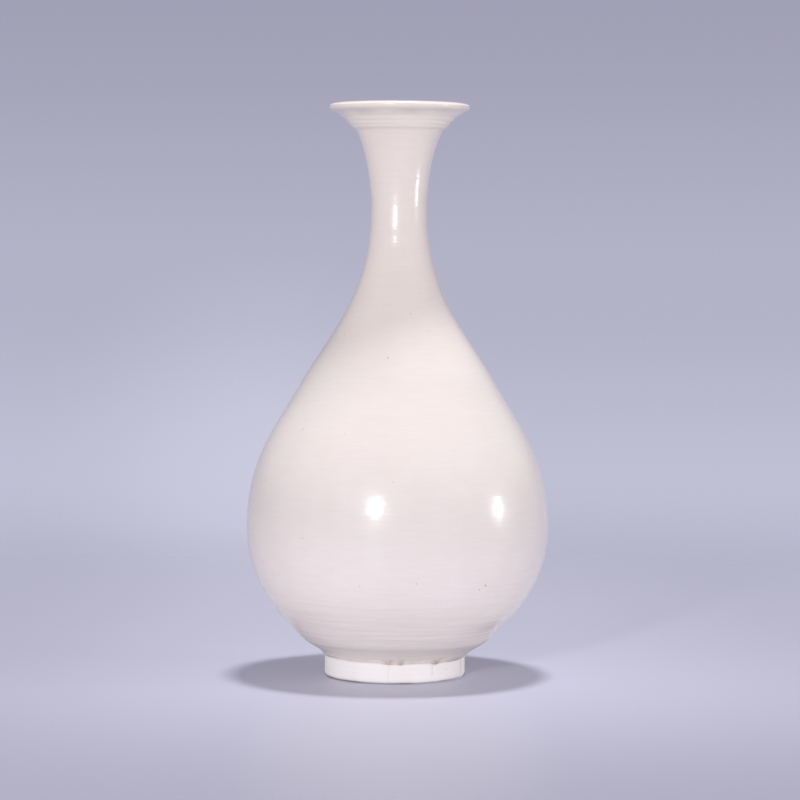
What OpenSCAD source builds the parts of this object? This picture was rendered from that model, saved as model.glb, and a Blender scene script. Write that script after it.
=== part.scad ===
// Pear-shaped bottle vase of the yuhuchun form, thrown in sections, luted with slip and glazed.
// Millimetres, +Z up, origin on the axis at the surface that the foot ring stands on.
// Heights are stacked: each rise is measured from the turning point below it.

/* [Foot ring] */
// Outside diameter of the bare foot ring
foot_d = 70; // [60:0.5:80]
// Height of the ring, up to the slip under the belly
foot_h = 9; // [6:0.5:14]
// Width of the flat face that the ring stands on
foot_rest_w = 6; // [4:0.5:9]
// Bevel worn on the outer bottom edge
foot_bevel = 1; // [0.4:0.1:2]
// Lean of the ring's inner wall, in degrees off upright
foot_lean = 8; // [2:1:15]

/* [Trimmed base] */
// Slope of the hollow curve where it leaves the foot, in degrees above level
base_slope = 47; // [38:0.5:56]
// Length over which the wall holds that slope
base_pull = 3.5; // [2:0.1:5]
// Outside diameter at the edge left by the trimming tool
trim_d = 94.2; // [84:0.2:104]
// Rise from the foot to that edge
trim_rise = 9.4; // [7:0.2:12]
// Slope of the wall at that edge, in degrees above level
trim_slope = 49; // [42:0.5:54]
// Length below the edge over which the wall holds that slope
trim_pull_low = 3; // [2:0.1:4]
// Length above the edge over which the wall holds that slope
trim_pull_high = 6.5; // [4:0.5:10]

/* [Belly] */
// Largest outside diameter
belly_d = 150.8; // [136:0.2:170]
// Rise from the trimmed edge to the widest point
belly_rise = 54.8; // [46:0.2:64]
// Length below the widest point over which the wall stays steep
belly_pull_low = 31; // [20:0.5:40]
// Length above the widest point over which the wall stays steep
belly_pull_high = 34; // [22:0.5:42]

/* [Shoulder] */
// Outside diameter where the curve turns from full to hollow
shoulder_d = 96.4; // [84:0.2:110]
// Rise from the widest point to that turn
shoulder_rise = 72.8; // [62:0.2:84]
// Slope of the wall at the turn, in degrees above level
shoulder_slope = 60.5; // [50:0.5:70]
// Length over which the wall holds that slope, each way
shoulder_pull = 25.5; // [15:0.5:34]

/* [Neck] */
// Outside diameter at the waist of the neck
neck_d = 27.6; // [24:0.2:36]
// Rise from the shoulder's turn to the waist
neck_rise = 86.5; // [74:0.5:100]
// Length below the waist over which the neck stays upright
neck_pull_low = 43; // [28:0.5:52]
// Length above the waist over which the neck stays upright
neck_pull_high = 11; // [6:0.5:20]
// Outside diameter at the top of the neck, under the mouth
flare_d = 45.2; // [38:0.2:52]
// Rise from the waist to the top of the neck
flare_rise = 40.6; // [32:0.2:48]
// Slope of the wall at the top of the neck, in degrees above level
flare_slope = 57; // [48:0.5:66]
// Length over which the wall holds that slope
flare_pull = 11.5; // [6:0.5:16]

/* [Mouth] */
// Outside diameter over the rolled lip
lip_d = 69.6; // [60:0.2:80]
// Height of the mouth above its slip
mouth_h = 11; // [9:0.1:14]
// Thickness of the rolled lip, glaze included
lip_t = 4; // [3:0.1:5]
// Slope of the underside where it meets the lip, in degrees above level
lip_slope = 18; // [12:1:28]
// Length over which the foot of the mouth holds the neck's slope
mouth_pull_low = 4.5; // [3:0.1:6]
// Length over which the underside holds its slope towards the lip
mouth_pull_high = 5.5; // [4:0.1:7]
// Ledge by which the mouth stands proud of the neck
mouth_step = 1; // [0.5:0.1:1.6]

/* [Walls] */
// Clay wall where the belly leaves the foot, which also sets the floor
base_wall = 6.5; // [5:0.1:8]
// Clay wall at the widest point
belly_wall = 4.5; // [3:0.1:6.5]
// Clay wall at the waist of the neck
neck_wall = 3.2; // [2.2:0.1:4.5]
// Clay wall at the top of the neck
flare_wall = 3; // [2.2:0.1:4]

/* [Joints and glaze] */
// Thickness of the slip between two sections
slip_t = 0.5; // [0.3:0.1:1]
// Rise from the shoulder's turn to the seam between belly and neck
neck_seam_rise = 43.5; // [30:0.5:56]
// Thickness of each glaze coat
glaze_t = 0.4; // [0.2:0.05:0.7]

/* [Hidden] */
$fn = 96;

glaze_colour = "#ede4dc";
clay_colour = "#f2efeb";
slip_colour = "#ddd3c8";

// Spacing of the levels at which the curved wall is worked out
level_step = 2.5;
// Straight steps along the mouth's curve, and along each part of the lip's roll
mouth_steps = 10;
lip_steps = 12;
// Slack for telling whether a level lies within a stretch
tiny = 1e-6;

// Heights of the seams and turning points
body_z = foot_h + slip_t;
trim_z = body_z + trim_rise;
belly_z = trim_z + belly_rise;
shoulder_z = belly_z + shoulder_rise;
neck_seam_z = shoulder_z + neck_seam_rise;
neck_z = shoulder_z + neck_rise;
flare_z = neck_z + flare_rise;

// Lower and upper face of the slip in the two seams of the belly and the neck
belly_seam = [belly_z - slip_t / 2, belly_z + slip_t / 2];
neck_seam = [neck_seam_z - slip_t / 2, neck_seam_z + slip_t / 2];

// Turning points of the outside, as [radius, height], and the wall's direction at each
up = [0, 1];
foot_point = [foot_d / 2, body_z];
foot_dir = [cos(base_slope), sin(base_slope)];
trim_point = [trim_d / 2, trim_z];
trim_dir = [cos(trim_slope), sin(trim_slope)];
belly_point = [belly_d / 2, belly_z];
shoulder_point = [shoulder_d / 2, shoulder_z];
shoulder_dir = [-cos(shoulder_slope), sin(shoulder_slope)];
neck_point = [neck_d / 2, neck_z];
flare_point = [flare_d / 2, flare_z];
flare_dir = [cos(flare_slope), sin(flare_slope)];

// The outside from the foot to the top of the neck, as five cubic curves
body_curves = [
    [foot_point, foot_point + base_pull * foot_dir, trim_point - trim_pull_low * trim_dir, trim_point],
    [trim_point, trim_point + trim_pull_high * trim_dir, belly_point - belly_pull_low * up, belly_point],
    [belly_point, belly_point + belly_pull_high * up,
     shoulder_point - shoulder_pull * shoulder_dir, shoulder_point],
    [shoulder_point, shoulder_point + shoulder_pull * shoulder_dir,
     neck_point - neck_pull_low * up, neck_point],
    [neck_point, neck_point + neck_pull_high * up, flare_point - flare_pull * flare_dir, flare_point]
];

function curve_point(c, t) =
    (1 - t) ^ 3 * c[0] + 3 * (1 - t) ^ 2 * t * c[1] + 3 * (1 - t) * t ^ 2 * c[2] + t ^ 3 * c[3];
function curve_dir(c, t) =
    (1 - t) ^ 2 * (c[1] - c[0]) + 2 * (1 - t) * t * (c[2] - c[1]) + t ^ 2 * (c[3] - c[2]);

// Place along a rising curve at a height, by halving the interval
function place_at(c, z, low = 0, high = 1, rounds = 40) =
    let (mid = (low + high) / 2)
    rounds == 0 ? mid
    : curve_point(c, mid).y < z ? place_at(c, z, mid, high, rounds - 1)
    : place_at(c, z, low, mid, rounds - 1);

// Unit direction into the wall, square to the outside
function inward(dir) = [-dir.y, dir.x] / norm(dir);

function reversed(list) = [for (i = [len(list) - 1 : -1 : 0]) list[i]];

// Levels at every seam face and turning point, with even steps between them
seam_levels = [
    body_z, trim_z, belly_seam[0], belly_z, belly_seam[1], shoulder_z,
    neck_seam[0], neck_seam[1], neck_z, flare_z
];
levels = [
    for (k = [0 : len(seam_levels) - 2])
        let (rise = seam_levels[k + 1] - seam_levels[k], steps = ceil(rise / level_step))
            for (i = [0 : steps - 1]) seam_levels[k] + rise * i / steps,
    flare_z
];

function wall_at(z) =
    lookup(z, [[body_z, base_wall], [belly_z, belly_wall], [neck_z, neck_wall], [flare_z, flare_wall]]);

// The four faces that a line through the wall crosses, from the outside in
OUTSIDE = 0;
CLAY_OUT = 1;
CLAY_IN = 2;
INSIDE = 3;
function wall_line(point, dir, wall) =
    [for (depth = [0, glaze_t, glaze_t + wall, glaze_t + wall + glaze_t]) point + depth * inward(dir)];

wall_lines = [
    for (z = levels)
        let (c = [for (b = body_curves) if (z <= b[3].y + tiny) b][0], t = place_at(c, z))
            wall_line(curve_point(c, t), curve_dir(c, t), wall_at(z))
];
foot_line = wall_lines[0];
neck_top_line = wall_lines[len(wall_lines) - 1];

// One face of the wall between two levels, from low to high
function face_between(face, low, high) =
    [for (i = [0 : len(levels) - 1])
        if (levels[i] > low - tiny && levels[i] < high + tiny) wall_lines[i][face]];

// The mouth: its own curve from the ledge over the neck to the underside of the rolled lip
lip_dir = [cos(lip_slope), sin(lip_slope)];
rim_lift = slip_t * flare_dir;
mouth_base = flare_point + rim_lift - mouth_step * inward(flare_dir);
mouth_top = flare_z + rim_lift.y + mouth_h;
lip_centre = [lip_d / 2 - lip_t / 2, mouth_top - lip_t / 2];
lip_under = lip_centre - lip_t / 2 * inward(lip_dir);
mouth_curve = [
    mouth_base, mouth_base + mouth_pull_low * flare_dir, lip_under - mouth_pull_high * lip_dir, lip_under
];
mouth_base_wall = mouth_step + flare_wall;
lip_wall = lip_t - 2 * glaze_t;
mouth_lines = [
    for (i = [0 : mouth_steps])
        let (t = i / mouth_steps)
            wall_line(curve_point(mouth_curve, t), curve_dir(mouth_curve, t),
                      mouth_base_wall + (lip_wall - mouth_base_wall) * t)
];
function mouth_face(face) = [for (line = mouth_lines) line[face]];

// The roll of the lip between two angles, without the first point
lip_start = lip_slope - 90;
lip_crown = 90;
lip_end = lip_slope + 90;
function lip_arc(from, to, radius) =
    [for (i = [1 : lip_steps])
        let (angle = from + (to - from) * i / lip_steps)
            lip_centre + radius * [cos(angle), sin(angle)]];
lip_r = lip_t / 2;
lip_clay_r = lip_r - glaze_t;

foot_inner_r = foot_d / 2 - foot_bevel - foot_rest_w;
foot_inner_top_r = foot_inner_r - foot_h * tan(foot_lean);
floor_z = foot_line[CLAY_IN].y;

// Turned ring of bare clay with a worn outer edge and a leaning inner wall
module foot_ring() {
    color(clay_colour)
        rotate_extrude()
            polygon([
                [foot_inner_r, 0], [foot_d / 2 - foot_bevel, 0], [foot_d / 2, foot_bevel],
                [foot_d / 2, foot_h], [foot_inner_top_r, foot_h]
            ]);
}

// Slip between the ring and the flat underside of the belly
module foot_slip() {
    color(slip_colour)
        rotate_extrude()
            polygon([
                [foot_inner_top_r, foot_h], [foot_line[CLAY_OUT].x, foot_h],
                [foot_line[CLAY_OUT].x, body_z], [foot_inner_top_r, body_z]
            ]);
}

// A turned ring of the clay wall between two levels
module wall_ring(low, high) {
    rotate_extrude()
        polygon(concat(face_between(CLAY_OUT, low, high), reversed(face_between(CLAY_IN, low, high))));
}

// Bowl with the floor of the vase
module lower_belly() {
    color(clay_colour)
        rotate_extrude()
            polygon(concat(
                [[0, body_z], [foot_line[CLAY_OUT].x, body_z]],
                face_between(CLAY_OUT, body_z, belly_seam[0]),
                reversed(face_between(CLAY_IN, body_z, belly_seam[0])),
                [[0, floor_z]]
            ));
}

// Slip at the widest point
module belly_slip() {
    color(slip_colour) wall_ring(belly_seam[0], belly_seam[1]);
}

// Shoulder section, from the widest point to the root of the neck
module upper_belly() {
    color(clay_colour) wall_ring(belly_seam[1], neck_seam[0]);
}

// Slip at the root of the neck
module neck_slip() {
    color(slip_colour) wall_ring(neck_seam[0], neck_seam[1]);
}

// Neck with its waist and flare
module neck() {
    color(clay_colour) wall_ring(neck_seam[1], flare_z);
}

// Slip between the top of the neck and the mouth
module rim_slip() {
    color(slip_colour)
        rotate_extrude()
            polygon([
                neck_top_line[CLAY_OUT], neck_top_line[CLAY_OUT] + rim_lift,
                neck_top_line[CLAY_IN] + rim_lift, neck_top_line[CLAY_IN]
            ]);
}

// Trumpet mouth that ends in a rolled lip
module mouth_rim() {
    color(clay_colour)
        rotate_extrude()
            polygon(concat(
                mouth_face(CLAY_OUT),
                lip_arc(lip_start, lip_crown, lip_clay_r),
                lip_arc(lip_crown, lip_end, lip_clay_r),
                reversed([for (i = [0 : mouth_steps - 1]) mouth_lines[i][CLAY_IN]])
            ));
}

// Glaze from just above the foot to the crown of the lip
module outer_glaze() {
    color(glaze_colour)
        rotate_extrude()
            polygon(concat(
                face_between(OUTSIDE, body_z, flare_z),
                mouth_face(OUTSIDE),
                lip_arc(lip_start, lip_crown, lip_r),
                reversed(concat(
                    face_between(CLAY_OUT, body_z, flare_z),
                    [neck_top_line[CLAY_OUT] + rim_lift],
                    mouth_face(CLAY_OUT),
                    lip_arc(lip_start, lip_crown, lip_clay_r)
                ))
            ));
}

// Glaze from the crown of the lip down the inside and over the floor
module inner_glaze() {
    color(glaze_colour)
        rotate_extrude()
            polygon(concat(
                [[0, floor_z]],
                face_between(CLAY_IN, body_z, flare_z),
                mouth_face(CLAY_IN),
                lip_arc(lip_end, lip_crown, lip_clay_r),
                reversed(concat(
                    [[0, foot_line[INSIDE].y]],
                    face_between(INSIDE, body_z, flare_z),
                    mouth_face(INSIDE),
                    lip_arc(lip_end, lip_crown, lip_r)
                ))
            ));
}

foot_ring();
foot_slip();
lower_belly();
belly_slip();
upper_belly();
neck_slip();
neck();
rim_slip();
mouth_rim();
outer_glaze();
inner_glaze();
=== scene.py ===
"""Looks of a pear-shaped bottle vase: glaze coats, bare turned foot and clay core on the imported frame.

Sizes are in millimetres and become metres where a mesh is made. A profile point is (radius, height).
Azimuths are in degrees round the vase, from its front towards its right-hand side.
"""

import logging
import math
from collections.abc import Callable, Sequence
from dataclasses import dataclass, field
from enum import Enum

import bmesh
import bpy
from mathutils import Matrix, Vector, noise
from mathutils.geometry import interpolate_bezier


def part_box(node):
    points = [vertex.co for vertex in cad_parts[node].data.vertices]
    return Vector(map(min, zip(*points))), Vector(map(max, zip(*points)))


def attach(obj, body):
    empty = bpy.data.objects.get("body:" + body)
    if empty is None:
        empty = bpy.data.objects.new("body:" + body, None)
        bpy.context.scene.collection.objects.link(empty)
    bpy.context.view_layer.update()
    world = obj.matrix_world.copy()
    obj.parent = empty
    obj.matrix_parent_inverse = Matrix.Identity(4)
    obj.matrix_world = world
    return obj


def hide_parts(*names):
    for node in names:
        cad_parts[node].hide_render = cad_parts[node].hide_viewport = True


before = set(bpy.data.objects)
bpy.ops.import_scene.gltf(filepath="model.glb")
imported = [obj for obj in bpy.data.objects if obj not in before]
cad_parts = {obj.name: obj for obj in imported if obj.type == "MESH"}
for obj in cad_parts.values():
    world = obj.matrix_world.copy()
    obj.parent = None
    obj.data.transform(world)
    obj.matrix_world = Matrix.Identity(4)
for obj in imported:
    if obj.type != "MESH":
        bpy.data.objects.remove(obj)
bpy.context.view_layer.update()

LOG = logging.getLogger("vase")
MM = 0.001
BODY = "root"
CLOUD_SPAN = (0.3, 0.7)
GRAIN_SPAN = (0.2, 0.8)
SOFT_NOISE = 2.0

Mesh = bmesh.types.BMesh
Material = bpy.types.Material
Node = bpy.types.Node
Object = bpy.types.Object
Socket = bpy.types.NodeSocket
Tree = bpy.types.NodeTree
Profile = list[Vector]
Colour = tuple[float, float, float, float]


class Slot(Enum):
    """Material slots of the part."""

    GLAZE = "ivory_glaze"
    CLAY = "bare_clay"
    SLIP = "luting_slip"


class Mark(Enum):
    """Values kept on the points of a glaze coat, which its finish reads."""

    FACE = "face"
    IRON = "edge_iron"
    # Darker glaze under the lip and at the trimming chine: partly glaze pooling, partly painted shade.
    POOL_AND_SHADE = "pool_and_shade"
    # Painted light: lighter glaze on the mouth and the lower belly, cut back at the crown of the lip.
    PAINTED_LIGHT = "painted_light_layer"


class Effect(Enum):
    """Node groups that several finishes share."""

    RINGS = "Throwing rings"
    GRAIN = "Grain"
    CLOUD = "Cloudy tone"
    SPECKS = "Iron specks"
    SPOT = "Single spot"
    BAND = "Upright band"


# Profile geometry


def heading(slope: float) -> Vector:
    """Unit direction in the profile's plane, at a slope in degrees above level going outwards."""
    return Vector((math.cos(math.radians(slope)), math.sin(math.radians(slope))))


def into_wall(direction: Vector) -> Vector:
    """Unit direction square to a rising outline, into the wall."""
    return Vector((-direction.y, direction.x)).normalized()


def ease(low: float, high: float, value: float) -> float:
    """Smooth climb from 0 at low to 1 at high."""
    share = min(1.0, max(0.0, (value - low) / (high - low)))
    return share * share * (3.0 - 2.0 * share)


def hump(low: float, peak: float, high: float, value: float) -> float:
    """Smooth rise from low to a peak of 1 and fall to high."""
    return ease(low, peak, value) if value < peak else 1.0 - ease(peak, high, value)


def shares_of(length: float, shares: tuple[float, float]) -> tuple[float, float]:
    """Two lengths that are shares of another."""
    return shares[0] * length, shares[1] * length


def turn_between(first: float, second: float) -> float:
    """Smallest angle between two azimuths, in degrees."""
    return abs((first - second + 180.0) % 360.0 - 180.0)


def azimuth_of(point: Vector) -> float:
    """Azimuth of a point in the vase's frame, in degrees."""
    return math.degrees(math.atan2(point.x, -point.y))


def drift(azimuth: float, spread: float, level: float) -> float:
    """Slow noise between -1 and 1 round the vase.

    Args:
        azimuth: Azimuth in degrees.
        spread: How fast the noise changes round the vase.
        level: Place in the noise that stands for a height.

    Returns:
        The noise.
    """
    turn = math.radians(azimuth)
    return noise.noise(Vector((spread * math.sin(turn), spread * math.cos(turn), level)))


def share_near(azimuth: float, centre: float, half_turn: float) -> float:
    """1 at the centre of a mark, falling to 0 at half its width on either side, all in degrees."""
    return 1.0 - ease(0.0, half_turn, turn_between(azimuth, centre))


def moved_into_wall(path: Profile, depth: Callable[[Vector], float]) -> Profile:
    """Copies a path at a depth under it.

    Args:
        path: Points from low to high on the outside.
        depth: Depth for a point of the path, square to it.

    Returns:
        As many points as the path has.
    """
    last = len(path) - 1
    moved = []
    for i, point in enumerate(path):
        along = path[min(i + 1, last)] - path[max(i - 1, 0)]
        moved.append(point + depth(point) * into_wall(along))
    return moved


def coat_back(face: Profile, depth: float, stride: int) -> Profile:
    """Back of a coat, from its last point to its first, with every few points of the face only."""
    behind = moved_into_wall(face, lambda p: depth)
    return [behind[-1], *behind[-1 - stride:0:-stride], behind[0]]


def softened(path: Profile, rounds: int = 3) -> Profile:
    """Rounds the corners of a path by cutting them off again and again.

    Args:
        path: Points of the path. Both ends stay.
        rounds: How often the corners are cut.

    Returns:
        The rounded path, with more points.
    """
    for _ in range(rounds):
        cut = [path[0]]
        for start, end in zip(path, path[1:]):
            cut += [start.lerp(end, 0.25), start.lerp(end, 0.75)]
        path = cut + [path[-1]]
    return path


def divided(start: Vector, end: Vector, spacing: float) -> Profile:
    """Points at about a spacing along a straight line, with the first but without the last."""
    steps = max(1, round((end - start).length / spacing))
    return [start.lerp(end, i / steps) for i in range(steps)]


@dataclass(frozen=True)
class Turn:
    """A turning point of the outside, with the wall's slope there in degrees above level."""

    radius: float
    height: float
    slope: float

    @property
    def point(self) -> Vector:
        """The turning point in the profile's plane."""
        return Vector((self.radius, self.height))

    def along(self, length: float) -> Vector:
        """Point at a length from here along the slope, upwards if positive."""
        return self.point + length * heading(self.slope)


@dataclass(frozen=True)
class Stretch:
    """One cubic curve of the outside between two turning points."""

    start: Turn
    pull_up: float
    pull_down: float
    end: Turn

    def path(self, spacing: float) -> Profile:
        """Points at about a spacing along the curve, both ends among them."""
        corners = [self.start.point, self.start.along(self.pull_up), self.end.along(-self.pull_down)]
        corners.append(self.end.point)
        length = sum((b - a).length for a, b in zip(corners, corners[1:]))
        return interpolate_bezier(*corners, max(3, round(length / spacing)))


@dataclass(frozen=True)
class Dig:
    """A shallow hollow that the trimming tool left on one side of the lower belly."""

    azimuth: float
    half_turn: float
    low: float
    deepest: float
    high: float
    depth: float
    slope: float = 46.0
    fade: float = 36.0

    def move(self, point: Vector) -> Vector:
        """How far a point of the wall moves into the wall.

        Args:
            point: Point in the vase's frame, in metres.

        Returns:
            The move in metres.
        """
        azimuth = azimuth_of(point)
        reach = turn_between(azimuth, self.azimuth)
        share = 1.0 - ease(self.half_turn, self.half_turn + self.fade, reach)
        share *= hump(self.low, self.deepest, self.high, point.z / MM)
        if share == 0.0:
            return Vector((0.0, 0.0, 0.0))
        inner = into_wall(heading(self.slope)) * self.depth * share * MM
        turn = math.radians(azimuth)
        return Vector((inner.x * math.sin(turn), -inner.x * math.cos(turn), inner.y))


@dataclass(frozen=True)
class Outline:
    """The glazed outside of the vase and its walls, as the part's source draws them.

    The mouth, the lip and the cove above the foot are drawn finer than in the source, after the photograph.
    """

    foot: Turn = Turn(35.0, 9.5, 76.0)
    trim: Turn = Turn(47.1, 18.9, 48.5)
    belly: Turn = Turn(75.4, 73.7, 90.0)
    shoulder: Turn = Turn(48.2, 146.5, 119.5)
    neck: Turn = Turn(13.8, 233.0, 90.0)
    flare: Turn = Turn(22.6, 273.6, 57.0)
    base_pulls: tuple[float, float] = (3.4, 3.0)
    belly_pulls: tuple[float, float] = (6.5, 31.0)
    shoulder_pulls: tuple[float, float] = (34.0, 25.5)
    neck_pulls: tuple[float, float] = (25.5, 43.0)
    flare_pulls: tuple[float, float] = (11.0, 11.5)
    mouth: Turn = Turn(22.45, 272.0, 52.0)
    lip_under: Turn = Turn(32.9, 281.2, 20.0)
    mouth_pulls: tuple[float, float] = (7.5, 2.5)
    mouth_walls: tuple[float, float] = (4.6, 3.9)
    inner_lip_r: float = 30.2
    lip_r: float = 34.85
    nose_z: float = 283.2
    nose_h: float = 1.7
    brow_place: float = 0.4
    brow_share: float = 1.0 / 6.0
    crown_r: float = 30.5
    crown_w: float = 1.6
    top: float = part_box("outer_glaze")[1].z / MM
    base_wall: float = 6.5
    belly_wall: float = 4.5
    neck_wall: float = 3.2
    flare_wall: float = 3.0
    slip_t: float = 0.5
    glaze_t: float = 0.4
    off_centre: float = -0.85
    digs: tuple[Dig, ...] = (
        Dig(azimuth=88.0, half_turn=24.0, low=17.5, deepest=25.0, high=32.0, depth=1.05),
        Dig(azimuth=-160.0, half_turn=16.0, low=24.0, deepest=31.0, high=37.0, depth=0.5),
    )

    @property
    def foot_shift(self) -> Vector:
        """How far the foot sits off the axis, to one side."""
        return Vector((self.off_centre, 0.0, 0.0))

    @property
    def mouth_stretch(self) -> Stretch:
        """The curve of the mouth."""
        return Stretch(self.mouth, *self.mouth_pulls, self.lip_under)

    def body_stretches(self) -> list[Stretch]:
        """The five curves from the foot to the top of the neck."""
        turns = [self.foot, self.trim, self.belly, self.shoulder, self.neck, self.flare]
        pulls = [self.base_pulls, self.belly_pulls, self.shoulder_pulls, self.neck_pulls, self.flare_pulls]
        return [Stretch(a, *pull, b) for a, pull, b in zip(turns, pulls, turns[1:])]

    def body_path(self, spacings: Sequence[float]) -> Profile:
        """Joins the body's curves into one path.

        Args:
            spacings: Spacing of the points on each of the five curves.

        Returns:
            Points from the foot to the top of the neck.
        """
        path: Profile = []
        for stretch, spacing in zip(self.body_stretches(), spacings):
            path += stretch.path(spacing)[1 if path else 0:]
        return path

    def body_wall(self, point: Vector) -> float:
        """Thickness of the clay at the height of a point on the body."""
        marks = [
            (self.foot.height, self.base_wall),
            (self.belly.height, self.belly_wall),
            (self.neck.height, self.neck_wall),
            (self.flare.height, self.flare_wall),
        ]
        for (low, wall), (high, next_wall) in zip(marks, marks[1:]):
            if point.y <= high:
                return wall + (next_wall - wall) * max(0.0, (point.y - low) / (high - low))
        return self.flare_wall

    def inner_mouth(self, spacing: float) -> Profile:
        """Inner face of the mouth from low to high, as far as the lip's crown lets it show."""
        base, lip = self.mouth.radius, self.inner_lip_r
        path = [p for p in self.mouth_stretch.path(spacing) if p.x <= lip]
        first, last = self.mouth_walls
        return moved_into_wall(path, lambda p: first + (last - first) * (p.x - base) / (lip - base))

    def lip(self, spacing: float) -> tuple[Profile, Profile]:
        """The lip, drawn out to a blunt nose and rounded over its crown.

        Args:
            spacing: Spacing on the mouth, whose inner face the lip meets.

        Returns:
            Points from the underside out and up to the crown, and from the crown in to the inner face.
        """
        nose, half = Vector((self.lip_r, self.nose_z)), Vector((0.0, self.nose_h / 2))
        crown, flat = Vector((self.crown_r, self.top)), Vector((self.crown_w / 2, 0.0))
        brow = (nose + half).lerp(crown, self.brow_place) + Vector((0.0, self.brow_share * self.nose_h))
        inner = self.inner_mouth(spacing)[-1]
        corners = [self.lip_under.point, nose - half, nose + half, brow, crown + flat, crown - flat, inner]
        path = softened(corners)
        highest = max(range(len(path)), key=lambda i: path[i].y)
        return path[:highest + 1], path[highest:]

    def inside_path(self, spacings: Sequence[float], mouth_spacing: float) -> Profile:
        """The glazed inner face, from the floor's edge up to the crown of the lip.

        Args:
            spacings: Spacing on each of the body's curves.
            mouth_spacing: Spacing on the mouth.

        Returns:
            Points from low to high.
        """
        skins = 2 * self.glaze_t
        body = moved_into_wall(self.body_path(spacings), lambda p: self.body_wall(p) + skins)
        body = [p for p in body if p.y < self.mouth.height]
        _, over = self.lip(mouth_spacing)
        return body[:-1] + self.inner_mouth(mouth_spacing)[:-1] + over[::-1]

    def dig(self, bm: Mesh, wanted: Callable[[bmesh.types.BMVert], bool]) -> None:
        """Presses the trimming hollows into a mesh.

        Args:
            bm: The mesh.
            wanted: Tells whether a point belongs to the outer part of the wall.
        """
        for vert in bm.verts:
            if wanted(vert):
                vert.co += sum((dig.move(vert.co) for dig in self.digs), Vector((0.0, 0.0, 0.0)))


# Mesh helpers


@dataclass(frozen=True)
class Lathe:
    """Spins profiles about the vase's axis and makes pieces of them."""

    segments: int
    weld: float = 1e-7
    sharp_angle: float = 42.0

    def spin(self, face: Profile, back: Profile, closed: bool) -> Mesh:
        """Spins a profile into a closed surface.

        Args:
            face: Points of the side that shows.
            back: Points that go on from there along the side that is hidden.
            closed: True where the profile returns to its start, False where both ends are on the axis.

        Returns:
            The mesh, with Mark.FACE set to 1 on the side that shows.
        """
        bm = bmesh.new()
        shown = bm.verts.layers.float.new(Mark.FACE.value)
        verts = []
        for i, point in enumerate([*face, *back]):
            vert = bm.verts.new((point.x * MM, 0.0, point.y * MM))
            vert[shown] = 1.0 if i < len(face) else 0.0
            verts.append(vert)
        edges = [bm.edges.new(pair) for pair in zip(verts, verts[1:])]
        if closed:
            edges.append(bm.edges.new((verts[-1], verts[0])))
        bmesh.ops.spin(
            bm, geom=verts + edges, cent=(0, 0, 0), axis=(0, 0, 1), dvec=(0, 0, 0), angle=math.tau,
            steps=self.segments, use_merge=True, use_normal_flip=False, use_duplicate=False,
        )
        bmesh.ops.remove_doubles(bm, verts=bm.verts, dist=self.weld)
        bmesh.ops.recalc_face_normals(bm, faces=bm.faces)
        bm.normal_update()
        return bm

    def piece(self, name: str, bm: Mesh, material: Material, slot: Slot, *nodes: str) -> Object:
        """Turns a mesh into a piece of the vase that stands for solids of the frame.

        Args:
            name: Name of the piece.
            bm: Its mesh, which is used up.
            material: Its finish.
            slot: The part's slot for that finish; it is not used.
            nodes: The solids that it stands for.

        Returns:
            The new object.
        """
        mesh = bpy.data.meshes.new(name)
        bm.to_mesh(mesh)
        bm.free()
        mesh.shade_smooth()
        mesh.set_sharp_from_angle(angle=math.radians(self.sharp_angle))
        mesh.materials.append(material)
        piece = bpy.data.objects.new(name, mesh)
        bpy.context.scene.collection.objects.link(piece)
        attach(piece, BODY)
        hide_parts(*nodes)
        return piece


# Node helpers


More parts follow.
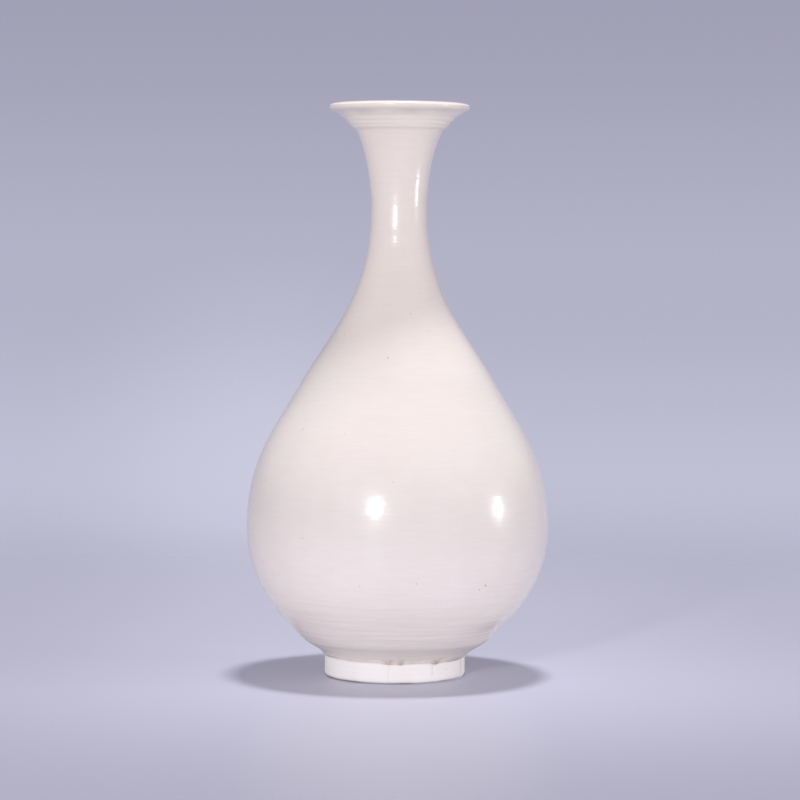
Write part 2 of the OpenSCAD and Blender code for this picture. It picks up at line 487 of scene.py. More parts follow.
class Shader:
    """Adds and links nodes in one node tree."""

    def __init__(self, tree: Tree) -> None:
        """Keeps the tree that the nodes go into."""
        self.tree = tree

    def add(self, kind: str, inputs: dict | None = None, **settings: object) -> Node:
        """Adds a node.

        Args:
            kind: Name of the node type, without its prefix.
            inputs: Value or linked socket for each input.
            settings: Properties of the node.

        Returns:
            The new node.
        """
        node = self.tree.nodes.new("ShaderNode" + kind)
        for name, value in settings.items():
            setattr(node, name, value)
        for key, value in (inputs or {}).items():
            if isinstance(value, Socket):
                self.tree.links.new(value, node.inputs[key])
            else:
                node.inputs[key].default_value = value
        return node

    def math(self, operation: str, *values: float | Socket) -> Socket:
        """Result of a Math node on one to three values."""
        return self.add("Math", dict(enumerate(values)), operation=operation).outputs[0]

    def mix(self, share: float | Socket, first: Colour | Socket, second: Colour | Socket) -> Socket:
        """Colour between two others."""
        return self.add("Mix", {0: share, 6: first, 7: second}, data_type="RGBA").outputs[2]

    def climb(
        self, value: Socket, low: float | Socket, high: float | Socket,
        ends: tuple[float, float] = (0.0, 1.0),
    ) -> Socket:
        """Smooth change between two ends while a value goes from low to high."""
        inputs = {0: value, 1: low, 2: high, 3: ends[0], 4: ends[1]}
        return self.add("MapRange", inputs, interpolation_type="SMOOTHSTEP").outputs[0]

    def noise(self, place: Socket, scale: float | Socket, detail: float | Socket) -> Socket:
        """Cloudy noise about a middle of 0.5."""
        return self.add("TexNoise", {"Vector": place, "Scale": scale, "Detail": detail}).outputs["Fac"]

    def belt(
        self, value: Socket, rise: tuple[float, float], fall: tuple[float, float], share: float = 1.0
    ) -> Socket:
        """A share that comes in over one range of a value and goes again over a later one."""
        rising = self.climb(value, *rise, (0.0, share))
        return self.math("MINIMUM", rising, self.climb(value, *fall, (share, 0.0)))

    def surface(
        self, principled: Node, colour: Socket, roughness: Socket, height: Socket, depth: float
    ) -> None:
        """Feeds a material's shader.

        Args:
            principled: The Principled node.
            colour: Its colour.
            roughness: Its roughness.
            height: Height of its fine relief.
            depth: Metres that a height of 1 stands for.
        """
        bump = self.add("Bump", {"Height": height, "Distance": depth, "Strength": 1.0})
        for name, socket in (("Base Color", colour), ("Roughness", roughness), ("Normal", bump.outputs[0])):
            self.tree.links.new(socket, principled.inputs[name])

    def level(self, place: Socket) -> Socket:
        """Height of a place, in metres."""
        return self.add("SeparateXYZ", {0: place}).outputs[2]

    def object_place(self) -> Socket:
        """Place on the piece, in metres in the vase's frame."""
        return self.add("TexCoord").outputs["Object"]

    def attribute(self, mark: Mark) -> Socket:
        """Value kept on the piece's points."""
        return self.add("Attribute", attribute_name=mark.value).outputs["Fac"]

    def effect(self, effect: Effect, place: Socket, **inputs: object) -> Socket:
        """Places a shared group.

        Args:
            effect: Which group.
            place: Place on the piece.
            inputs: The group's other inputs, with a _ for each space.

        Returns:
            The group's only output.
        """
        node = self.add("Group", node_tree=EffectGroups.get(effect))
        self.tree.links.new(place, node.inputs["Place"])
        for name, value in inputs.items():
            node.inputs[name.replace("_", " ")].default_value = value
        return node.outputs[0]


class EffectGroups:
    """Builds each shared node group once. A maker adds the nodes to a group and returns its result."""

    made: dict[Effect, Tree] = {}
    spot_core: float = 0.4
    speck_core: float = 0.5
    band_core: float = 0.3
    band_crooks: float = 350.0

    @classmethod
    def get(cls, effect: Effect) -> Tree:
        """The group of an effect, made at its first use."""
        if effect not in cls.made:
            band = {"Azimuth": 0.0, "Half turn": 1.0, "Low": 0.0, "High": 0.01, "Wander": 1.0}
            makers = {
                Effect.RINGS: (cls.rings, "Height", {"Pitch": 0.001, "Wander": 8.0}),
                Effect.GRAIN: (cls.grain, "Height", {"Size": 0.001, "Detail": 3.0}),
                Effect.CLOUD: (cls.cloud, "Tone", {"Size": 0.05, "Stretch": 1.0}),
                Effect.SPECKS: (cls.specks, "Mask", {"Spacing": 0.01, "Radius": 0.0005, "Share": 0.5}),
                Effect.SPOT: (cls.spot, "Mask", {"Centre": (0.0, 0.0, 0.0), "Radius": 0.0005}),
                Effect.BAND: (cls.band, "Mask", band),
            }
            cls.made[effect] = cls.build(effect, *makers[effect])
        return cls.made[effect]

    @staticmethod
    def build(
        effect: Effect, maker: Callable[[Shader, dict[str, Socket]], Socket], output: str,
        inputs: dict[str, float | tuple[float, float, float]],
    ) -> Tree:
        """Makes a group.

        Args:
            effect: Its name.
            maker: Adds its nodes.
            output: Name of its output.
            inputs: Default of each input besides the place.

        Returns:
            The group's tree.
        """
        tree = bpy.data.node_groups.new(effect.value, "ShaderNodeTree")
        tree.interface.new_socket(name="Place", in_out="INPUT", socket_type="NodeSocketVector")
        for name, value in inputs.items():
            kind = "NodeSocketVector" if isinstance(value, tuple) else "NodeSocketFloat"
            socket = tree.interface.new_socket(name=name, in_out="INPUT", socket_type=kind)
            socket.default_value = value
        tree.interface.new_socket(name=output, in_out="OUTPUT", socket_type="NodeSocketFloat")
        source, sink = tree.nodes.new("NodeGroupInput"), tree.nodes.new("NodeGroupOutput")
        given = {socket.name: socket for socket in source.outputs}
        tree.links.new(maker(Shader(tree), given), sink.inputs[0])
        return tree

    @staticmethod
    def rings(shader: Shader, given: dict[str, Socket]) -> Socket:
        """Uneven level lines, which change slowly round the piece."""
        x, y, z = shader.add("SeparateXYZ", {0: given["Place"]}).outputs
        level = shader.math("DIVIDE", z, given["Pitch"])
        x, y = (shader.math("MULTIPLY", axis, given["Wander"]) for axis in (x, y))
        return shader.noise(shader.add("CombineXYZ", {0: x, 1: y, 2: level}).outputs[0], 1.0, SOFT_NOISE)

    @staticmethod
    def grain(shader: Shader, given: dict[str, Socket]) -> Socket:
        """Fine grain of clay, or the skin of a glaze at a larger size."""
        return shader.noise(given["Place"], shader.math("DIVIDE", 1.0, given["Size"]), given["Detail"])

    @staticmethod
    def cloud(shader: Shader, given: dict[str, Socket]) -> Socket:
        """Soft patches, drawn out upright where the stretch is over 1."""
        x, y, z = shader.add("SeparateXYZ", {0: given["Place"]}).outputs
        height = shader.math("DIVIDE", z, given["Stretch"])
        drawn = shader.add("CombineXYZ", {0: x, 1: y, 2: height}).outputs[0]
        scale = shader.math("DIVIDE", 1.0, given["Size"])
        return shader.climb(shader.noise(drawn, scale, SOFT_NOISE), *CLOUD_SPAN)

    @classmethod
    def specks(cls, shader: Shader, given: dict[str, Socket]) -> Socket:
        """Scattered round specks of uneven size."""
        scale = shader.math("DIVIDE", 1.0, given["Spacing"])
        cells = shader.add("TexVoronoi", {"Vector": given["Place"], "Scale": scale}).outputs
        chance, size, _ = shader.add("SeparateColor", {0: cells["Color"]}).outputs
        reach = shader.math("DIVIDE", shader.math("MULTIPLY", given["Radius"], size), given["Spacing"])
        core = shader.math("MULTIPLY", reach, cls.speck_core)
        spots = shader.climb(cells["Distance"], core, reach, (1.0, 0.0))
        return shader.math("MULTIPLY", spots, shader.math("LESS_THAN", chance, given["Share"]))

    @classmethod
    def spot(cls, shader: Shader, given: dict[str, Socket]) -> Socket:
        """One round spot at a chosen place."""
        gap = shader.add("VectorMath", {0: given["Place"], 1: given["Centre"]}, operation="DISTANCE")
        core = shader.math("MULTIPLY", given["Radius"], cls.spot_core)
        return shader.climb(gap.outputs["Value"], core, given["Radius"], (1.0, 0.0))

    @classmethod
    def band(cls, shader: Shader, given: dict[str, Socket]) -> Socket:
        """Upright band at an azimuth, between two heights, with a wandering edge."""
        x, y, z = shader.add("SeparateXYZ", {0: given["Place"]}).outputs
        azimuth = shader.math("DEGREES", shader.math("ARCTAN2", x, shader.math("MULTIPLY", y, -1.0)))
        sway = shader.math("SUBTRACT", shader.noise(given["Place"], cls.band_crooks, SOFT_NOISE), 0.5)
        gap = shader.math("SUBTRACT", azimuth, given["Azimuth"])
        gap = shader.math("ABSOLUTE", shader.math("MULTIPLY_ADD", sway, given["Wander"], gap))
        core = shader.math("MULTIPLY", given["Half turn"], cls.band_core)
        across = shader.climb(gap, core, given["Half turn"], (1.0, 0.0))
        above = shader.math("GREATER_THAN", z, given["Low"])
        inside = shader.math("MULTIPLY", above, shader.math("LESS_THAN", z, given["High"]))
        return shader.math("MULTIPLY", across, inside)


def new_material(name: str) -> tuple[Material, Shader, Node]:
    """A material with nothing but its shader.

    Args:
        name: Name of the material.

    Returns:
        The material, a shader for its tree and its Principled node.
    """
    material = bpy.data.materials.new(name)
    material.use_nodes = True
    principled = material.node_tree.nodes["Principled BSDF"]
    return material, Shader(material.node_tree), principled


# Finishes


@dataclass(frozen=True)
class Speck:
    """A fleck of iron in the glaze, at an azimuth and height on the outside."""

    azimuth: float
    height: float
    radius: float
    strength: float = 1.0


@dataclass(frozen=True)
class GlazeFinish:
    """Warm white glaze with level streaks, pinholes, iron flecks and a toasted lower edge.

    A tone comes in over a rise and goes over a fall, in shares of the shoulder's height. The painted shade
    over the upper belly rises in shares of the belly's height. The thick tone fades until a share of the
    belly's height and comes back from a share of the neck's. The peel rises from a share of the shoulder's
    height to a share of the neck's. Some tones are painted light and shade: painted light on the upper
    shoulder, the mouth and the lower belly, painted shade over the upper belly, and darker glaze under the
    lip and at the trimming chine that is partly glaze pooling and partly painted shade.
    """

    ivory: Colour = (0.855, 0.782, 0.761, 1.0)
    warm: Colour = (0.85, 0.762, 0.727, 1.0)
    pale: Colour = (0.875, 0.81, 0.797, 1.0)
    # Darker glaze colour: partly glaze pooling, partly painted shade under the lip and at the chine.
    pooled_and_shaded: Colour = (0.74, 0.68, 0.63, 1.0)
    thick: Colour = (0.88, 0.802, 0.71, 1.0)
    # Darker colour for the wiped streaks, which the glaze has, and for painted shade over the upper belly.
    wiped_and_shade: Colour = (0.735, 0.665, 0.648, 1.0)
    rosy: Colour = (0.872, 0.778, 0.75, 1.0)
    # Painted light: colour of a lighter band on the upper shoulder.
    shoulder_light: Colour = (0.89, 0.797, 0.775, 1.0)
    # Colour of the painted light on the mouth and the lower belly.
    painted_light_colour: Colour = (0.945, 0.858, 0.793, 1.0)
    toasted: Colour = (0.50, 0.40, 0.31, 1.0)
    fleck: Colour = (0.34, 0.27, 0.23, 1.0)
    curtain_share: float = 0.5
    thick_low: tuple[float, float] = (0.9, 0.7)
    thick_high: tuple[float, float] = (0.8, 0.25)
    rosy_share: float = 0.8
    rosy_rise: tuple[float, float] = (1.15, 1.35)
    shoulder_light_rise: tuple[float, float] = (1.02, 1.17)
    shoulder_light_fall: tuple[float, float] = (1.17, 1.32)
    belly_shade_share: float = 0.5
    belly_shade_rise: tuple[float, float] = (0.7, 1.45)
    belly_shade_fall: tuple[float, float] = (1.0, 1.22)
    wiped_share: float = 0.13
    rust_shares: tuple[float, float] = (0.55, 1.0)
    speck_share: float = 0.45
    roughness: tuple[float, float] = (0.15, 0.24)
    ior: float = 1.5
    gloss: float = 0.28
    sheen: float = 0.32
    sheen_roughness: float = 0.34
    bump: float = 0.00002
    streaks: tuple[float, float, float] = (17.0, 2.2, 6.0)
    broad_streaks: float = 3.0
    peel: tuple[float, float] = (0.7, 1.8)
    peel_rise: tuple[float, float] = (1.3, 0.9)
    pit_depth: float = 1.2
    specks: tuple[Speck, ...] = (
        Speck(-7.3, 160.2, 0.55, 0.6),
        Speck(-49.1, 125.2, 0.6, 0.5),
        Speck(-1.6, 102.4, 0.45, 0.5),
        Speck(-37.1, 74.1, 0.7, 0.4),
        Speck(7.6, 53.7, 0.5, 0.5),
        Speck(37.0, 51.4, 0.65, 0.9),
        Speck(34.5, 49.5, 0.55, 0.6),
        Speck(-14.4, 52.2, 0.5, 0.5),
        Speck(28.1, 191.1, 0.4, 0.5),
        Speck(13.0, 181.3, 0.45, 0.5),
        Speck(55.5, 179.3, 0.5, 0.5),
        Speck(27.4, 173.1, 0.45, 0.4),
        Speck(-17.4, 273.2, 0.4, 0.6),
    )

    def placed(self, shader: Shader, place: Socket, outline: Outline) -> Socket:
        """Mask of the flecks that have a place of their own.

        Args:
            shader: Shader of the material.
            place: Place on the piece.
            outline: Outside of the vase, which gives each fleck's distance from the axis.

        Returns:
            The mask.
        """
        path = outline.body_path((1.0,) * len(outline.body_stretches()))
        mask: float | Socket = 0.0
        for speck in self.specks:
            near = min(path, key=lambda p: abs(p.y - speck.height))
            turn = math.radians(speck.azimuth)
            centre = (near.x * math.sin(turn) * MM, -near.x * math.cos(turn) * MM, speck.height * MM)
            spot = shader.effect(Effect.SPOT, place, Centre=centre, Radius=speck.radius * MM)
            mask = shader.math("MAXIMUM", mask, shader.math("MULTIPLY", spot, speck.strength))
        return mask

    def tone(self, shader: Shader, place: Socket, mottle: Socket, outline: Outline) -> Socket:
        """Colour of the glaze, with its thick and marked places and its painted light and shade.

        Args:
            shader: Shader of the material.
            place: Place on the piece.
            mottle: Fine patches that break up the iron.
            outline: Outside of the vase, which the tones follow.

        Returns:
            The colour.
        """
        level = shader.level(place)
        belly, shoulder, neck = (t.height * MM for t in (outline.belly, outline.shoulder, outline.neck))
        clouds = shader.effect(Effect.CLOUD, place, Size=0.032)
        curtains = shader.effect(Effect.CLOUD, place, Size=0.012, Stretch=9.0)
        colour = shader.mix(clouds, self.ivory, self.warm)
        colour = shader.mix(shader.math("MULTIPLY", curtains, self.curtain_share), colour, self.pale)

        end, share = self.thick_low
        low = shader.climb(level, outline.trim.height * MM, end * belly, (share, 0.0))
        start, share = self.thick_high
        high = shader.climb(level, start * neck, outline.mouth.height * MM, (0.0, share))
        colour = shader.mix(shader.math("ADD", low, high), colour, self.thick)
        upper = shader.climb(level, *shares_of(shoulder, self.rosy_rise), (0.0, self.rosy_share))
        colour = shader.mix(upper, colour, self.rosy)
        # Painted light: a lighter band on the upper shoulder.
        rise, fall = shares_of(shoulder, self.shoulder_light_rise), shares_of(shoulder, self.shoulder_light_fall)
        colour = shader.mix(shader.belt(level, rise, fall), colour, self.shoulder_light)
        # Painted light on the mouth and on the lower belly above the trimming chine.
        colour = shader.mix(shader.attribute(Mark.PAINTED_LIGHT), colour, self.painted_light_colour)
        # Painted shade over the upper belly, with the wiped streaks, which are the glaze's own.
        rise, fall = shares_of(belly, self.belly_shade_rise), shares_of(shoulder, self.belly_shade_fall)
        wiped = shader.effect(Effect.RINGS, place, Pitch=0.0014, Wander=80.0)
        wiped = shader.climb(wiped, *CLOUD_SPAN, (0.0, self.wiped_share))
        wiped_and_shaded = shader.math("ADD", wiped, shader.belt(level, rise, fall, self.belly_shade_share))
        colour = shader.mix(wiped_and_shaded, colour, self.wiped_and_shade)

        # Partly glaze pooling, partly painted shade: darker under the lip and at the trimming chine.
        colour = shader.mix(shader.attribute(Mark.POOL_AND_SHADE), colour, self.pooled_and_shaded)
        patches = shader.climb(mottle, 0.0, 1.0, self.rust_shares)
        rust = shader.math("MULTIPLY", shader.attribute(Mark.IRON), patches)
        colour = shader.mix(rust, colour, self.toasted)
        specks = shader.effect(Effect.SPECKS, place, Spacing=0.016, Radius=0.0007, Share=0.5)
        specks = shader.math("MULTIPLY", specks, self.speck_share)
        flecks = shader.math("MAXIMUM", self.placed(shader, place, outline), specks)
        return shader.mix(flecks, colour, self.fleck)

    def relief(self, shader: Shader, place: Socket, outline: Outline) -> Socket:
        """Height of the turning streaks, the glaze's skin and its pinholes.

        Args:
            shader: Shader of the material.
            place: Place on the piece.
            outline: Outside of the vase, which says where the streaks are strong.

        Returns:
            The height.
        """
        level = shader.level(place)
        belly, shoulder, neck = (t.height * MM for t in (outline.belly, outline.shoulder, outline.neck))
        fine = shader.effect(Effect.RINGS, place, Pitch=0.0019, Wander=24.0)
        broad = shader.effect(Effect.RINGS, place, Pitch=0.0042, Wander=16.0)
        skin = shader.effect(Effect.GRAIN, place, Size=0.0016, Detail=2.0)
        pits = shader.effect(Effect.SPECKS, place, Spacing=0.0035, Radius=0.0007, Share=0.6)
        trimmed, turned, thrown = self.streaks
        low = shader.climb(level, outline.trim.height * MM, belly, (trimmed, turned))
        high = shader.climb(level, shoulder, neck, (0.0, thrown - turned))
        height = shader.math("MULTIPLY", fine, shader.math("ADD", low, high))
        height = shader.math("MULTIPLY_ADD", broad, self.broad_streaks, height)
        start, end = self.peel_rise
        peel = shader.climb(level, start * shoulder, end * neck, self.peel)
        height = shader.math("MULTIPLY_ADD", skin, peel, height)
        return shader.math("MULTIPLY_ADD", pits, -self.pit_depth, height)

    def make(self, outline: Outline) -> Material:
        """Makes the glaze's material for a vase of an outline."""
        material, shader, principled = new_material(Slot.GLAZE.value)
        place = shader.object_place()
        mottle = shader.effect(Effect.CLOUD, place, Size=0.0022)
        colour = self.tone(shader, place, mottle, outline)
        roughness = shader.climb(mottle, 0.0, 1.0, self.roughness)
        shader.surface(principled, colour, roughness, self.relief(shader, place, outline), self.bump)
        principled.inputs["IOR"].default_value = self.ior
        principled.inputs["Specular IOR Level"].default_value = self.gloss
        principled.inputs["Coat Weight"].default_value = self.sheen
        principled.inputs["Coat Roughness"].default_value = self.sheen_roughness
        return material


@dataclass(frozen=True)
class Stain:
    """An upright mark on the bare foot: a hairline crack or a run of iron."""

    azimuth: float
    half_turn: float
    low: float
    high: float
    strength: float
    colour: Colour


@dataclass(frozen=True)
class ClayFinish:
    """Bare fired body clay: chalky, with turning lines, sandy grain, a few stains and a dark base edge,
    partly earth and partly painted contact shade.
    """

    chalk: Colour = (0.93, 0.895, 0.89, 1.0)
    cream: Colour = (0.895, 0.845, 0.815, 1.0)
    # Dark colour of the grit and of the base edge, which is partly earth, partly painted contact shade.
    soil_and_contact_shade: Colour = (0.36, 0.29, 0.24, 1.0)
    base_dark_height: float = 1.5
    base_dark_share: float = 0.9
    base_dark_patches: tuple[float, float] = (0.4, 1.0)
    cream_share: float = 0.55
    grit_share: float = 0.35
    grain: float = 0.0007
    roughness: tuple[float, float] = (0.78, 0.92)
    bump: float = 0.00005
    line_depth: float = 0.8
    grit_depth: float = 0.5
    stain_wander: float = 2.2
    stains: tuple[Stain, ...] = (
        Stain(-6.2, 0.5, 0.2, 10.8, 0.14, (0.50, 0.42, 0.38, 1.0)),
        Stain(69.0, 1.0, 2.2, 9.8, 0.5, (0.42, 0.34, 0.30, 1.0)),
        Stain(30.6, 1.5, 3.4, 10.8, 0.2, (0.60, 0.47, 0.36, 1.0)),
        Stain(-124.0, 0.6, 0.3, 7.0, 0.4, (0.42, 0.34, 0.30, 1.0)),
        Stain(152.0, 1.4, 4.2, 9.8, 0.4, (0.55, 0.42, 0.30, 1.0)),
    )

    def make(self) -> Material:
        """Makes the clay's material."""
        material, shader, principled = new_material(Slot.CLAY.value)
        place = shader.object_place()
        patches = shader.effect(Effect.CLOUD, place, Size=0.018)
        grain = shader.effect(Effect.GRAIN, place, Size=self.grain, Detail=4.0)
        lines = shader.effect(Effect.RINGS, place, Pitch=0.0008, Wander=20.0)
        grit = shader.effect(Effect.SPECKS, place, Spacing=0.004, Radius=0.0006, Share=0.35)

        colour = shader.mix(shader.math("MULTIPLY", patches, self.cream_share), self.chalk, self.cream)
        for stain in self.stains:
            band = shader.effect(
                Effect.BAND, place, Azimuth=stain.azimuth, Half_turn=stain.half_turn,
                Low=stain.low * MM, High=stain.high * MM, Wander=self.stain_wander * stain.half_turn,
            )
            colour = shader.mix(shader.math("MULTIPLY", band, stain.strength), colour, stain.colour)
        colour = shader.mix(shader.math("MULTIPLY", grit, self.grit_share), colour, self.soil_and_contact_shade)
        # The lowest edge darkens all round: partly earth from standing, partly painted contact shade.
        edge = shader.climb(shader.level(place), 0.0, self.base_dark_height * MM, (self.base_dark_share, 0.0))
        base_earth_and_shade = shader.math("MULTIPLY", edge, shader.climb(patches, 0.0, 1.0, self.base_dark_patches))
        colour = shader.mix(base_earth_and_shade, colour, self.soil_and_contact_shade)

        relief = shader.math("MULTIPLY_ADD", lines, self.line_depth, grain)
        relief = shader.math("MULTIPLY_ADD", grit, -self.grit_depth, relief)
        roughness = shader.climb(grain, *GRAIN_SPAN, self.roughness)
        shader.surface(principled, colour, roughness, relief, self.bump)
        return material


@dataclass(frozen=True)
class SlipFinish:
    """Luting slip: smoother and a little darker than the clay, with brush streaks."""

    light: Colour = (0.83, 0.775, 0.72, 1.0)
    dark: Colour = (0.74, 0.67, 0.60, 1.0)
    roughness: tuple[float, float] = (0.68, 0.85)
    bump: float = 0.00004

    def make(self) -> Material:
        """Makes the slip's material."""
        material, shader, principled = new_material(Slot.SLIP.value)
        place = shader.object_place()
        patches = shader.effect(Effect.CLOUD, place, Size=0.006)
        streaks = shader.effect(Effect.RINGS, place, Pitch=0.0004, Wander=60.0)
        grain = shader.effect(Effect.GRAIN, place, Size=0.0004, Detail=3.0)
        colour = shader.mix(patches, self.light, self.dark)
        roughness = shader.climb(grain, *GRAIN_SPAN, self.roughness)
        shader.surface(principled, colour, roughness, shader.math("ADD", streaks, grain), self.bump)
        return material


# Pieces


@dataclass(frozen=True)
class Bead:
    """A place on the glaze's lower edge where it hangs lower, or draws back if the drop is negative."""

    azimuth: float
    half_turn: float
    drop: float
    swell: float
    iron: float

    def share(self, azimuth: float) -> float:
        """How much of the bead there is at an azimuth."""
        return share_near(azimuth, self.azimuth, self.half_turn)


@dataclass(frozen=True)
class Flat:
    """An upright place on the neck that is flatter than the rest."""

    azimuth: float
    half_turn: float
    depth: float

    def sink(self, azimuth: float) -> float:
        """How far the wall sinks at an azimuth."""
        return self.depth * share_near(azimuth, self.azimuth, self.half_turn)


@dataclass(frozen=True)
class ToolMarks:
    """Marks of throwing and trimming on the outside. A reach is measured from the place of its mark."""

    spiral: float = 0.03
    spiral_pitch: float = 7.6
    spiral_drift: float = 2.0
    slow_pitch: float = 60.0
    slow_rates: tuple[float, float] = (1.7, 0.9)
    neck_swell: float = 0.075
    neck_rate: float = 0.8
    neck_pitch: float = 6.5
    neck_reach: tuple[float, float] = (30.0, 6.0)
    flats: tuple[Flat, ...] = (Flat(-9.0, 23.0, 0.14), Flat(41.0, 23.0, 0.11))
    waist: float = 0.07
    waist_drop: float = 16.0
    waist_pitch: float = 10.0
    waist_reach: tuple[float, float] = (9.0, 12.0)
    trimming: float = 0.05
    trim_pitch: float = 2.2
    trim_reach: tuple[float, float, float] = (-4.0, 9.0, 34.0)
    rings: float = 0.1
    ring_pitch: float = 2.1
    ring_drift: float = 1.5
    ring_drift_pitch: float = 1.8
    ring_least: float = 0.4
    ring_reach: tuple[float, float, float] = (0.2, 3.2, 8.0)
    wobble: float = 0.1
    wobble_rate: float = 0.9
    wobble_pitch: float = 45.0
    belly_sink: float = 0.14
    belly_reach: float = 34.0

    def depth(self, shape: Outline, azimuth: float, height: float) -> float:
        """Depth of the marks at a point on the glaze.

        Args:
            shape: Outside of the vase.
            azimuth: Azimuth of the point.
            height: Its height.

        Returns:
            How far the point moves outwards, never much above 0.
        """
        slow = height / self.slow_pitch
        uneven, drifting = (drift(azimuth, rate, rate * slow) for rate in self.slow_rates)
        uneven = 0.5 + 0.5 * uneven
        beat = math.tau * (height / self.spiral_pitch - azimuth / 360.0)
        depth = self.spiral * uneven * math.sin(beat + self.spiral_drift * drifting)

        above, over = self.neck_reach
        neck = hump(shape.shoulder.height + above, shape.neck.height, shape.flare.height + over, height)
        swell = self.neck_swell * drift(azimuth, self.neck_rate, height / self.neck_pitch)
        depth += neck * (swell - sum(flat.sink(azimuth) for flat in self.flats))
        rise = height - shape.neck.height + self.waist_drop
        below, above = self.waist_reach
        depth += self.waist * hump(-below, 0.0, above, rise) * math.sin(math.tau * rise / self.waist_pitch)

        trimmed = hump(*self.trim_reach, height - shape.trim.height)
        depth += self.trimming * trimmed * drift(azimuth, 1.0, height / self.trim_pitch)
        rise = height - shape.mouth.height
        beat = math.tau * rise / self.ring_pitch
        beat += self.ring_drift * drift(azimuth, 1.0, rise / self.ring_drift_pitch)
        depth += self.rings * hump(*self.ring_reach, rise) * math.sin(beat) * (self.ring_least + uneven)
        depth += self.wobble * drift(azimuth, self.wobble_rate, height / self.wobble_pitch)
        reach = self.belly_reach
        return depth - self.belly_sink * hump(-reach, 0.0, reach, height - shape.belly.height)


